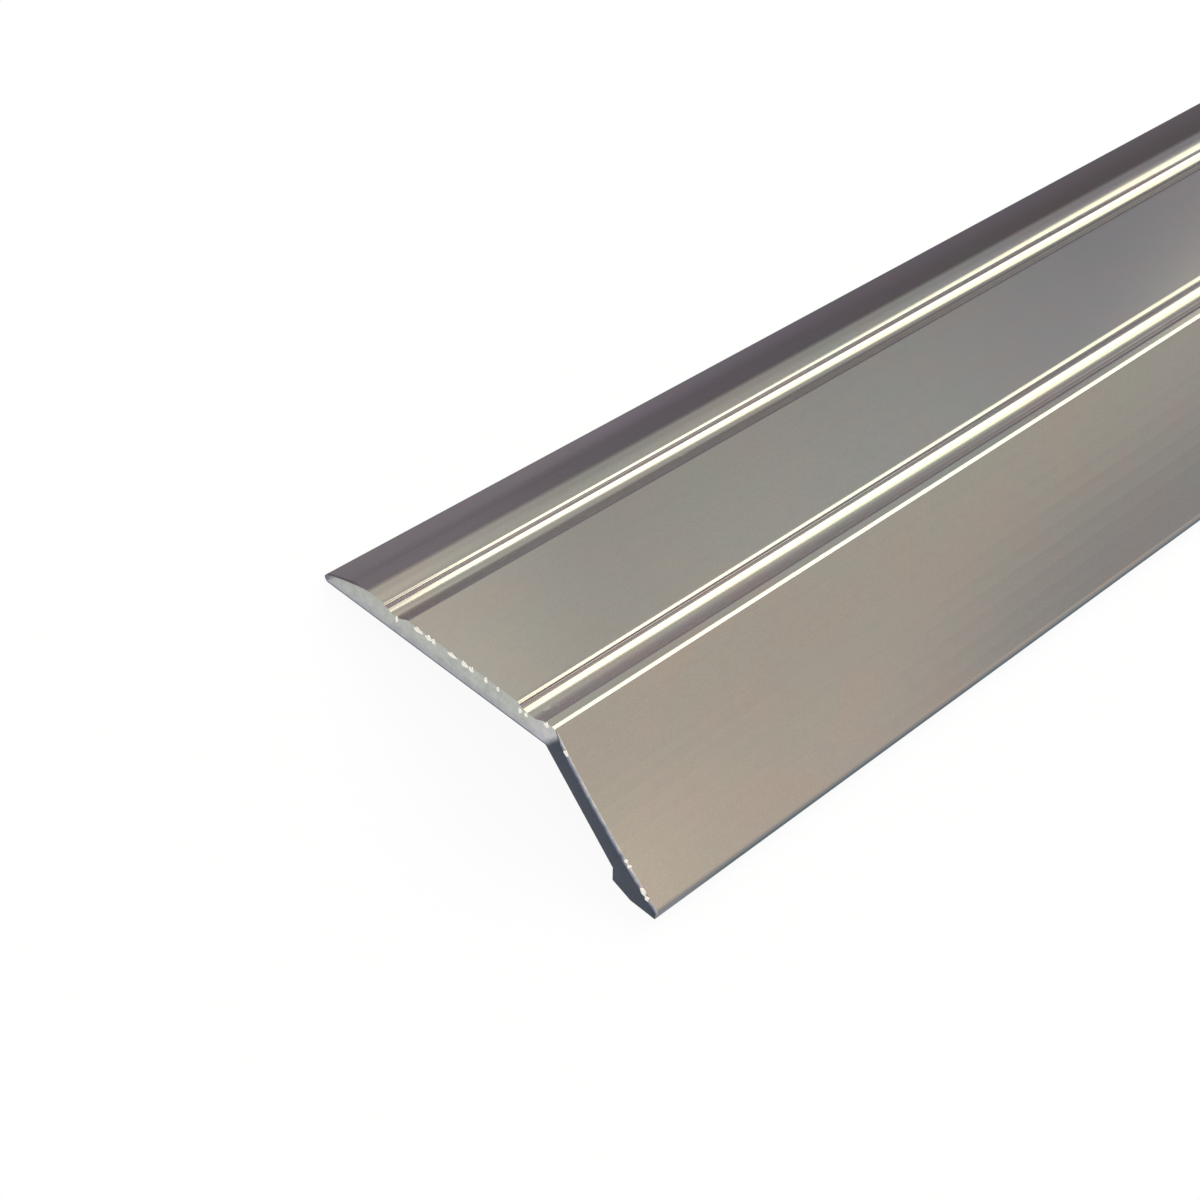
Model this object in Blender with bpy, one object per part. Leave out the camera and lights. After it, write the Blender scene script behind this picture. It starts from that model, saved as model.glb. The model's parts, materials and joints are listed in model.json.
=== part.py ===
"""Carpet transition strip: one length of extruded aluminium ramp edge.

The section is drawn as the strip is installed. The underside of the plate lies
on the drawing's horizontal axis, the inner corner between plate and flange is
the origin, the nose points to the left and the flange slopes down to the right.
The outline is extruded to the stock length, turned so that the length runs
along X, and tilted until the nose and the foot both touch a level floor.
"""

import math

import bmesh
import bpy
from mathutils import Matrix, Vector

MM = 0.001

# Stock length
LENGTH = 900.0 * MM

# Plate, which lies on the higher floor
PLATE_WIDTH = 30.0 * MM  # nose tip to outer corner
PLATE_THICKNESS = 2.5 * MM
NOSE_RADIUS = 0.42 * MM
BEVEL_WIDTH = 6.15 * MM  # nose tip to the crease where the flat top begins
BEVEL_CROWN_RADIUS = 35.0 * MM

# Flange, which slopes down to the lower floor
FLANGE_THICKNESS = 2.5 * MM  # at its root
RAMP_ANGLE = math.radians(45.0)  # outer face, corner to toe
RAMP_HOLLOW = 0.45 * MM  # how far the outer face bows in between corner and toe
INNER_FACE_ANGLE = math.radians(46.0)
CORNER_RADIUS = 0.55 * MM
INNER_FILLET_RADIUS = 0.4 * MM

# Foot, which stands on the lower floor
FLOOR_STEP = 10.5 * MM  # underside of the plate down to the sole of the foot
TOE_LAND_HEIGHT = 0.9 * MM
TOE_LAND_LEAN = math.radians(15.0)  # from upright, outwards at the top
TOE_TOP_RADIUS = 0.2 * MM
SOLE_EDGE_RADIUS = 0.1 * MM
HEEL_WALL_HEIGHT = 1.45 * MM
HEEL_RAMP_WIDTH = 2.1 * MM
HEEL_RAMP_ANGLE = math.radians(20.5)

# Grip grooves, two alike: a rounded lip, a small ledge, then a cove that rises slowly to the top
NOSE_TO_FIRST_GROOVE = 8.66 * MM
LAST_GROOVE_TO_CORNER = 0.96 * MM
GROOVE_WIDTH = 3.12 * MM
LIP_RADIUS = 0.2 * MM
LEDGE_WIDTH = 0.26 * MM
LEDGE_DEPTH = 0.28 * MM
COVE_DEPTH = 0.75 * MM
COVE_WALL_ANGLE = math.radians(65.0)  # steepest slope of the cove, below the ledge
COVE_FLOOR_WIDTH = 0.85 * MM

# Facets of the round stretches
ARC_STEP = math.radians(9.0)
SHALLOW_STEP = math.radians(1.2)
SMOOTH_LIMIT = math.radians(14.0)
WELD_DISTANCE = 1e-7

# Finish: natural anodised aluminium
ALUMINIUM_COLOUR = (0.60, 0.59, 0.56, 1.0)
ALUMINIUM_ROUGHNESS = 0.38

LEFT = Vector((-1.0, 0.0))
DOWN = Vector((0.0, -1.0))

# Drawing plane to world: drawing x to -Y, drawing y to +Z, extrusion to -X
DRAWING_TO_WORLD = Matrix(((0.0, 0.0, -1.0), (-1.0, 0.0, 0.0), (0.0, 1.0, 0.0))).to_4x4()


def clear_scene():
    """Remove every object that the scene holds."""
    for item in list(bpy.data.objects):
        bpy.data.objects.remove(item, do_unlink=True)


def heading(angle):
    """Unit direction at an angle in the drawing."""
    return Vector((math.cos(angle), math.sin(angle)))


def polar(centre, radius, angle):
    """Point on a circle."""
    return centre + radius * heading(angle)


def angle_of(vector):
    """Direction of a flat vector, in radians."""
    return math.atan2(vector.y, vector.x)


def arc(centre, radius, start, end, step=ARC_STEP):
    """Points along an arc, both ends included."""
    count = max(2, math.ceil(abs(end - start) / step))
    return [polar(centre, radius, start + (end - start) * i / count) for i in range(count + 1)]


def fillet(corner, to_before, to_after, radius):
    """Arc that rounds a corner, given the unit directions of its two edges."""
    half = to_before.angle(to_after) / 2
    centre = corner + (to_before + to_after).normalized() * radius / math.sin(half)
    tangent_length = radius / math.tan(half)
    start = angle_of(corner + to_before * tangent_length - centre)
    end = angle_of(corner + to_after * tangent_length - centre)
    turn = (end - start + math.pi) % math.tau - math.pi
    return arc(centre, radius, start, start + turn)


def outer_corner():
    """Sharp corner where the plate's top meets the flange's outer face."""
    across = FLANGE_THICKNESS - PLATE_THICKNESS * math.cos(INNER_FACE_ANGLE)
    return Vector((across / math.sin(INNER_FACE_ANGLE), PLATE_THICKNESS))


def nose_tip_x():
    """Drawing x of the nose's outermost point."""
    return outer_corner().x - PLATE_WIDTH


def nose_centre():
    """Centre of the nose's round end, which touches the underside's plane."""
    return Vector((nose_tip_x() + NOSE_RADIUS, NOSE_RADIUS))


def nose_and_bevel():
    """Round nose from the underside up, then the crowned bevel tangent to it."""
    nose = nose_centre()
    crease = Vector((nose_tip_x() + BEVEL_WIDTH, PLATE_THICKNESS))
    span = crease - nose
    inner = BEVEL_CROWN_RADIUS - NOSE_RADIUS
    along = (inner**2 - BEVEL_CROWN_RADIUS**2 + span.length_squared) / (2 * span.length)
    below = math.sqrt(inner**2 - along**2)
    direction = span.normalized()
    crown = nose + direction * along + Vector((direction.y, -direction.x)) * below
    tangent = angle_of(nose - crown)
    bevel = arc(crown, BEVEL_CROWN_RADIUS, tangent, angle_of(crease - crown), SHALLOW_STEP)
    return arc(nose, NOSE_RADIUS, 1.5 * math.pi, tangent) + bevel[1:]


def groove(start_x):
    """One grip groove: a round lip, a step down to the ledge, the cove, its floor and its rise."""
    top = PLATE_THICKNESS
    ledge_end = start_x + LEDGE_WIDTH
    radius = (COVE_DEPTH - LEDGE_DEPTH) / (1 - math.cos(COVE_WALL_ANGLE))
    centre = Vector((ledge_end + radius * math.sin(COVE_WALL_ANGLE), top - COVE_DEPTH + radius))
    cove = arc(centre, radius, -math.pi / 2 - COVE_WALL_ANGLE, -math.pi / 2)
    floor_end = cove[-1] + Vector((COVE_FLOOR_WIDTH, 0.0))
    rise_end = Vector((start_x + GROOVE_WIDTH, top))
    lip = fillet(Vector((start_x, top)), LEFT, DOWN, LIP_RADIUS)
    return lip + [Vector((start_x, top - LEDGE_DEPTH))] + cove + [floor_end, rise_end]


def foot_inner_edge():
    """Edge where the heel's ramp meets the sole."""
    ramp_rise = HEEL_RAMP_WIDTH * math.tan(HEEL_RAMP_ANGLE)
    wall_top_y = -FLOOR_STEP + ramp_rise + HEEL_WALL_HEIGHT
    wall_x = -wall_top_y / math.tan(INNER_FACE_ANGLE)
    return Vector((wall_x + HEEL_RAMP_WIDTH, -FLOOR_STEP))


def ramp_face():
    """Hollow outer face, from the round corner to the round top of the toe's land."""
    corner = outer_corner()
    drop = PLATE_THICKNESS + FLOOR_STEP - TOE_LAND_HEIGHT
    toe_top = corner + Vector((drop / math.tan(RAMP_ANGLE), -drop))
    half_chord = (toe_top - corner).length / 2
    radius = (half_chord**2 + RAMP_HOLLOW**2) / (2 * RAMP_HOLLOW)
    half_turn = math.asin(half_chord / radius)
    centre = polar((corner + toe_top) / 2, radius - RAMP_HOLLOW, math.pi / 2 - RAMP_ANGLE)
    facing = -math.pi / 2 - RAMP_ANGLE
    face = arc(centre, radius, facing - half_turn, facing + half_turn, SHALLOW_STEP)
    leaving = heading(-RAMP_ANGLE - half_turn)
    arriving = heading(-RAMP_ANGLE + half_turn)
    land_down = heading(-math.pi / 2 - TOE_LAND_LEAN)
    points = fillet(corner, LEFT, leaving, CORNER_RADIUS)
    points += face[1:-1]
    points += fillet(toe_top, -arriving, land_down, TOE_TOP_RADIUS)
    sole_edge = toe_top + land_down * TOE_LAND_HEIGHT / math.cos(TOE_LAND_LEAN)
    return points + fillet(sole_edge, -land_down, LEFT, SOLE_EDGE_RADIUS)


def heel_and_inner_face():
    """Inner edge of the sole, heel, and the inner face up to the inner corner."""
    edge = foot_inner_edge()
    ramp_top = edge + Vector((-HEEL_RAMP_WIDTH, HEEL_RAMP_WIDTH * math.tan(HEEL_RAMP_ANGLE)))
    wall_top = ramp_top + Vector((0.0, HEEL_WALL_HEIGHT))
    inner_corner = Vector((0.0, 0.0))
    inner_face = heading(-INNER_FACE_ANGLE)
    return [edge, ramp_top, wall_top] + fillet(inner_corner, inner_face, LEFT, INNER_FILLET_RADIUS)


def section_outline():
    """Closed outline of the section, clockwise from the underside of the nose."""
    first = nose_tip_x() + NOSE_TO_FIRST_GROOVE
    last = outer_corner().x - LAST_GROOVE_TO_CORNER - GROOVE_WIDTH
    plate = nose_and_bevel() + groove(first) + groove(last)
    return plate + ramp_face() + heel_and_inner_face()


def rest_tilt():
    """Angle by which the plate leans when nose and foot lie on a level floor."""
    to_nose = nose_centre() - foot_inner_edge()
    return math.atan2(to_nose.y, -to_nose.x) - math.asin(NOSE_RADIUS / to_nose.length)


def rest_placement(outline):
    """World matrix that lays the drawing's section on the floor, centred over the origin."""
    turn = Matrix.Rotation(-rest_tilt(), 4, "X") @ DRAWING_TO_WORLD
    placed = [turn @ point.to_3d() for point in outline]
    low_y = min(point.y for point in placed)
    high_y = max(point.y for point in placed)
    floor_z = min(point.z for point in placed)
    return Matrix.Translation((0.0, -(low_y + high_y) / 2, -floor_z)) @ turn


def aluminium():
    """Satin natural-anodised aluminium."""
    material = bpy.data.materials.new("anodised_aluminium")
    material.use_nodes = True
    shader = material.node_tree.nodes["Principled BSDF"]
    shader.inputs["Base Color"].default_value = ALUMINIUM_COLOUR
    shader.inputs["Metallic"].default_value = 1.0
    shader.inputs["Roughness"].default_value = ALUMINIUM_ROUGHNESS
    return material


def outline_curve(name, outline, thickness):
    """Flat filled outline, thickened to both sides of the drawing plane."""
    curve = bpy.data.curves.new(name, "CURVE")
    curve.dimensions = "2D"
    curve.fill_mode = "BOTH"
    curve.extrude = thickness / 2
    spline = curve.splines.new("POLY")
    spline.points.add(len(outline) - 1)
    for spot, point in zip(spline.points, outline):
        spot.co = (point.x, point.y, 0.0, 1.0)
    spline.use_cyclic_u = True
    return curve


def solid_from_curve(name, curve, placement, collection):
    """Mesh object made from a curve, with its end faces welded on."""
    guide = bpy.data.objects.new(name + "_outline", curve)
    collection.objects.link(guide)
    guide.matrix_world = placement
    evaluated = guide.evaluated_get(bpy.context.evaluated_depsgraph_get())
    mesh = bpy.data.meshes.new_from_object(evaluated)
    mesh.name = name
    bpy.data.objects.remove(guide)
    work = bmesh.new()
    work.from_mesh(mesh)
    bmesh.ops.remove_doubles(work, verts=work.verts, dist=WELD_DISTANCE)
    bmesh.ops.recalc_face_normals(work, faces=work.faces)
    work.to_mesh(mesh)
    work.free()
    mesh.shade_smooth()
    mesh.set_sharp_from_angle(angle=SMOOTH_LIMIT)
    solid = bpy.data.objects.new(name, mesh)
    collection.objects.link(solid)
    solid.matrix_world = placement
    return solid


def build():
    """Model the strip at rest on the floor."""
    clear_scene()
    collection = bpy.data.collections.new("carpet_transition_strip")
    bpy.context.scene.collection.children.link(collection)
    outline = section_outline()
    curve = outline_curve("strip_section", outline, LENGTH)
    strip = solid_from_curve("strip_extrusion", curve, rest_placement(outline), collection)
    strip.data.materials.clear()
    strip.data.materials.append(aluminium())


build()
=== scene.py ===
"""Looks of an extruded aluminium carpet transition strip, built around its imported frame.

The strip is one length of drawn section: a thin plate with a bevelled nose, two stepped grip
grooves and a ramp flange that stands on a foot. The near end is the saw cut.
Lengths of the section are in millimetres in the plate's own axes: across runs from the nose
to the flange, up stands on the plate, along runs down the length. The origin is the inner
corner under the plate. Slopes and other angles are in degrees. Everything in the scene itself
is in metres.
"""

import json
import logging
import math
import random
from dataclasses import dataclass, field
from enum import Enum

import bmesh
import bpy
from mathutils import Matrix, Vector
from mathutils.geometry import intersect_line_line_2d, tessellate_polygon

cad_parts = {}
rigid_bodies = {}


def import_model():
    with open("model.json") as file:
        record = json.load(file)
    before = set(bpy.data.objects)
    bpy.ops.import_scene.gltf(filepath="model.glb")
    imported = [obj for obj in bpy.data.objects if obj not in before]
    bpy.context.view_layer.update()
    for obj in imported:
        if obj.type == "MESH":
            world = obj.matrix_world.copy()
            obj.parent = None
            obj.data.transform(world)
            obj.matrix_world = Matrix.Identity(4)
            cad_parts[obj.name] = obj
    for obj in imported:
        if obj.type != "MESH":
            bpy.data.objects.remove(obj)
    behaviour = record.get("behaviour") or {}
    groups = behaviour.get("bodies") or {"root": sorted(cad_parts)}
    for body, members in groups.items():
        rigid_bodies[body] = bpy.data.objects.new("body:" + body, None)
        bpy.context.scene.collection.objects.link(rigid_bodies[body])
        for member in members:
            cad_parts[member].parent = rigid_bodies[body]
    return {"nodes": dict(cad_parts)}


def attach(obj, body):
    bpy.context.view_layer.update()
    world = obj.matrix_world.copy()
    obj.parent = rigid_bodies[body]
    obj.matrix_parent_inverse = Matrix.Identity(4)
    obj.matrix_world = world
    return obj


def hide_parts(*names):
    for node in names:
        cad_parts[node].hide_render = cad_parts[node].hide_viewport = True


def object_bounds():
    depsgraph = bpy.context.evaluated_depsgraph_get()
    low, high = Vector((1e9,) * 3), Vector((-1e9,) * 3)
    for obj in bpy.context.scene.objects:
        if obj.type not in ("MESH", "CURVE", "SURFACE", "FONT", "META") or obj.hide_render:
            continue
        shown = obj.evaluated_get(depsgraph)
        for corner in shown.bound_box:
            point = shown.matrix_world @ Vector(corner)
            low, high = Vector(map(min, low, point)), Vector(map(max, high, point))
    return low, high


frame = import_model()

MM = 0.001
BODY = "root"
STRIP_NODE = "strip_extrusion"
FILED_SHARE = "filed_share"
WELD_DISTANCE = 1e-6
BOX_MARGIN = 5e-6
NOISE_MIDDLE = 0.5
CAD_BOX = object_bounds()

Triple = tuple[float, float, float]
Colour = Triple
Point = tuple[float, float]
Bends = tuple[Point, ...]
Stops = tuple[tuple[float, Colour], ...]
Socket = bpy.types.NodeSocket
Input = Socket | float | Colour

log = logging.getLogger("strip")


class Finish(Enum):
    """Material slots of the strip's mesh, in the order that its faces name them."""

    SATIN = 0
    SAWN = 1
    DRESSED = 2


def rgba(colour: Colour) -> tuple[float, float, float, float]:
    """Return a linear colour with full alpha."""
    return (colour[0], colour[1], colour[2], 1.0)


def shaded(colour: Colour, factor: float) -> Colour:
    """Return a colour with every channel multiplied by one factor."""
    return tuple(channel * factor for channel in colour)


class Nodes:
    """A short hand for laying out one material's or world's node tree."""

    def __init__(self, tree: bpy.types.NodeTree) -> None:
        """Take a node tree and empty it."""
        self.tree = tree
        tree.nodes.clear()

    def add(self, kind: str, **values: object) -> bpy.types.Node:
        """Add a node and set its properties, and its sockets by name or number.

        Args:
            kind: The node's type name without the ShaderNode prefix.
            **values: Properties by name, or sockets with spaces written as underscores.

        Returns:
            The new node.
        """
        node = self.tree.nodes.new("ShaderNode" + kind)
        for name, value in values.items():
            if hasattr(node, name):
                setattr(node, name, value)
            else:
                node.inputs[name.replace("_", " ")].default_value = value
        return node

    def feed(self, target: Socket, value: Input) -> None:
        """Give an input its value.

        Args:
            target: The input.
            value: An output to join to it, or a number or linear colour to set it to.
        """
        if isinstance(value, Socket):
            self.tree.links.new(value, target)
        else:
            target.default_value = rgba(value) if target.type == "RGBA" else value

    def show(self, shader: Socket, output: str = "OutputMaterial") -> None:
        """Send a shader to the tree's output."""
        self.feed(self.add(output).inputs["Surface"], shader)

    def math(self, operation: str, first: Input, second: Input = 0.0, third: Input = 0.0) -> Socket:
        """Combine up to three values.

        Args:
            operation: The Math node's operation.
            first: A socket or a number.
            second: A socket or a number.
            third: A socket or a number, for the operations that take it.

        Returns:
            The result's socket.
        """
        node = self.add("Math", operation=operation)
        for slot, value in enumerate((first, second, third)):
            self.feed(node.inputs[slot], value)
        return node.outputs[0]

    def split(self, place: Socket) -> tuple[Socket, ...]:
        """Split a place.

        Args:
            place: The place.

        Returns:
            The sockets of its three parts.
        """
        node = self.add("SeparateXYZ")
        self.feed(node.inputs[0], place)
        return tuple(node.outputs)

    def ramp(self, value: Socket, stops: Stops, smooth: bool = False) -> Socket:
        """Turn a value into a colour.

        Args:
            value: The value to read, from 0 to 1.
            stops: Positions and linear colours.
            smooth: Whether the colours ease into each other.

        Returns:
            The colour's socket.
        """
        node = self.add("ValToRGB")
        node.color_ramp.interpolation = "EASE" if smooth else "LINEAR"
        elements = node.color_ramp.elements
        while len(elements) < len(stops):
            elements.new(0.5)
        while len(elements) > len(stops):
            elements.remove(elements[-1])
        for element, (position, colour) in zip(elements, stops):
            element.position = position
            element.color = rgba(colour)
        self.feed(node.inputs["Fac"], value)
        return node.outputs["Color"]

    def between(self, value: Socket, span: Point, low: Colour, high: Colour) -> Socket:
        """Return a colour between two, each of them full at its own end of a value's span."""
        return self.ramp(value, ((span[0], low), (span[1], high)))

    def window(self, value: Socket, start: float, end: float) -> Socket:
        """Rise smoothly from 0 to 1, or fall from 1 to 0 where end is the lower one.

        Args:
            value: The value to read.
            start: Where the result begins to rise, or ends its fall.
            end: Where it is full.

        Returns:
            The result's socket.
        """
        node = self.add("MapRange", interpolation_type="SMOOTHSTEP")
        results = (0.0, 1.0) if start < end else (1.0, 0.0)
        numbers = (min(start, end), max(start, end), *results)
        for name, number in zip(("From Min", "From Max", "To Min", "To Max"), numbers):
            node.inputs[name].default_value = number
        self.feed(node.inputs["Value"], value)
        return node.outputs["Result"]

    def band(self, value: Socket, rise: Point, fall: Point) -> Socket:
        """Return 1 between a rising and a falling window, and 0 outside them."""
        return self.math("MULTIPLY", self.window(value, *rise), self.window(value, *fall))

    def blend(self, kind: str, first: Input, second: Input, amount: Input = 1.0) -> Socket:
        """Blend two colours.

        Args:
            kind: The Mix node's way to blend them.
            first: The colour so far.
            second: The colour that comes in.
            amount: How much of it shows, from 0 to 1.

        Returns:
            The blended colour's socket.
        """
        node = self.add("Mix", data_type="RGBA", blend_type=kind)
        for slot, value in ((0, amount), (6, first), (7, second)):
            self.feed(node.inputs[slot], value)
        return node.outputs[2]

    def tint(self, colour: Socket, by: Colour, amount: Socket) -> Socket:
        """Multiply a colour by another where the amount is high."""
        return self.blend("MULTIPLY", colour, by, amount)

    def noise(self, place: Socket, scale: float, detail: float = 2.0, roughness: float = 0.5,
              stretch: Triple = (1.0, 1.0, 1.0)) -> Socket:
        """Read a noise texture.

        Args:
            place: The place in plate millimetres.
            scale: Its features in each millimetre.
            detail: How many finer layers it has.
            roughness: How strong the finer layers are.
            stretch: A factor on the place for each direction; under 1 draws the noise out.

        Returns:
            The noise's socket, around 0.5.
        """
        node = self.add("TexNoise", Scale=scale, Detail=detail, Roughness=roughness)
        if stretch != (1.0, 1.0, 1.0):
            factor = self.add("VectorMath", operation="MULTIPLY")
            factor.inputs[1].default_value = stretch
            self.feed(factor.inputs[0], place)
            place = factor.outputs["Vector"]
        self.feed(node.inputs["Vector"], place)
        return node.outputs[0]


def new_material(name: str) -> tuple[bpy.types.Material, Nodes]:
    """Make a material with an empty node tree.

    Args:
        name: The material's name.

    Returns:
        The material and its nodes.
    """
    material = bpy.data.materials.new(name)
    material.use_nodes = True
    return material, Nodes(material.node_tree)


def new_object(name: str, mesh: bmesh.types.BMesh) -> bpy.types.Object:
    """Turn a finished mesh into an object of the scene.

    Args:
        name: The name of the object and of its mesh.
        mesh: The mesh, which is freed.

    Returns:
        The object.
    """
    data = bpy.data.meshes.new(name)
    mesh.to_mesh(data)
    mesh.free()
    made = bpy.data.objects.new(name, data)
    bpy.context.scene.collection.objects.link(made)
    return made


def edge_length(edge: tuple[Vector, Vector]) -> float:
    """Return the distance between an edge's ends."""
    return (edge[1] - edge[0]).length


@dataclass(frozen=True)
class PlateAxes:
    """The plate's own axes in the scene, found from the frame's section."""

    corner: Vector
    across: Vector
    up: Vector
    near: float
    far: float

    @classmethod
    def from_ring(cls, ring: list[Vector], near: float, far: float) -> "PlateAxes":
        """Find the axes from the plate's underside and the flange's longest face below it.

        Args:
            ring: The section's points as (y, z) in metres, in order.
            near: The near end's x.
            far: The far end's x.

        Returns:
            The plate's axes.
        """
        edges = [(ring[i - 1], ring[i]) for i in range(len(ring))]
        underside = max(edges, key=edge_length)
        across = (underside[0] - underside[1]).normalized()
        if across.x > 0.0:
            across = -across
        up = Vector((across.y, -across.x))
        if up.y < 0.0:
            up = -up
        level = underside[0].dot(up)
        below = [edge for edge in edges if edge[0].dot(up) < level - WELD_DISTANCE]
        start, end = max(below, key=edge_length)
        run = (end - start).normalized()
        reach = (level - start.dot(up)) / run.dot(up)
        return cls(start + run * reach, across, up, near, far)

    def to_plate(self, point: Vector) -> Point:
        """Return a scene (y, z) point in the plate's millimetres."""
        offset = point - self.corner
        return offset.dot(self.across) / MM, offset.dot(self.up) / MM

    def to_scene(self, along: float, across: float, up: float) -> Vector:
        """Return a plate point in scene metres.

        Args:
            along: Millimetres from the near end.
            across: Millimetres from the inner corner toward the flange.
            up: Millimetres above the plate's underside.

        Returns:
            The point in the scene.
        """
        flat = self.corner + self.across * (across * MM) + self.up * (up * MM)
        return Vector((self.near + along * MM, flat.x, flat.y))

    @property
    def lean(self) -> float:
        """The angle in radians by which the plate leans toward its nose."""
        return math.atan2(self.up.x, self.up.y)


def frame_ring(node: bpy.types.Object) -> tuple[list[Vector], float, float]:
    """Read the section from a frame node's near end.

    Args:
        node: The frame's strip node, which isn't changed.

    Returns:
        The section's (y, z) points in order, and the x of both ends.
    """
    mesh = bmesh.new()
    mesh.from_mesh(node.data)
    bmesh.ops.remove_doubles(mesh, verts=mesh.verts, dist=WELD_DISTANCE)
    near = min(v.co.x for v in mesh.verts)
    far = max(v.co.x for v in mesh.verts)
    end = {v for v in mesh.verts if v.co.x < near + 10 * WELD_DISTANCE}
    neighbours: dict[bmesh.types.BMVert, list[bmesh.types.BMVert]] = {v: [] for v in end}
    for edge in mesh.edges:
        on_rim = any(v not in end for face in edge.link_faces for v in face.verts)
        if on_rim and all(v in end for v in edge.verts):
            first, second = edge.verts
            neighbours[first].append(second)
            neighbours[second].append(first)
    start = max(end, key=lambda v: v.co.z)
    ring = [start]
    previous = None
    current = start
    while True:
        step = next(v for v in neighbours[current] if v is not previous)
        if step is start:
            break
        ring.append(step)
        previous, current = current, step
    points = [Vector((v.co.y, v.co.z)) for v in ring]
    mesh.free()
    return points, near, far


def signed_area(points: list[Point]) -> float:
    """Return twice the area of a closed outline, positive when it runs anticlockwise."""
    return sum(a[0] * b[1] - b[0] * a[1] for a, b in zip(points, points[1:] + points[:1]))


class Pen:
    """Draws straights and arcs over the plate's top, on the way from the nose to the flange."""

    def __init__(self, across: float, up: float) -> None:
        """Set the pen down, level, at a place across the plate and above its underside."""
        self.points: list[Point] = [(across, up)]
        self.slope = 0.0

    def straight(self, length: float) -> None:
        """Draw on along the present downward slope.

        Args:
            length: How far to draw.
        """
        across, up = self.points[-1]
        slope = math.radians(self.slope)
        self.points.append((across + length * math.cos(slope), up - length * math.sin(slope)))

    def arc(self, slope: float, radius: float, step: float = 7.0) -> None:
        """Draw an arc.

        Args:
            slope: The downward slope at the arc's end.
            radius: Its radius.
            step: The largest turn between two points.
        """
        turn = slope - self.slope
        count = max(2, math.ceil(abs(turn) / step))
        chord = 2 * radius * math.sin(math.radians(abs(turn) / count / 2))
        start = self.slope
        for index in range(count):
            self.slope = start + turn * (index + 0.5) / count
            self.straight(chord)
        self.slope = slope

    def arcs(self, bends: Bends) -> None:
        """Draw one arc after another, each given as its end slope and its radius."""
        for slope, radius in bends:
            self.arc(slope, radius)


@dataclass(frozen=True)
class GrooveShape:
    """One groove's fine shape. Each bend is its end slope and its radius."""

    lip: Bends
    ledge_width: float
    cove: Bends
    rise: Bends


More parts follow.
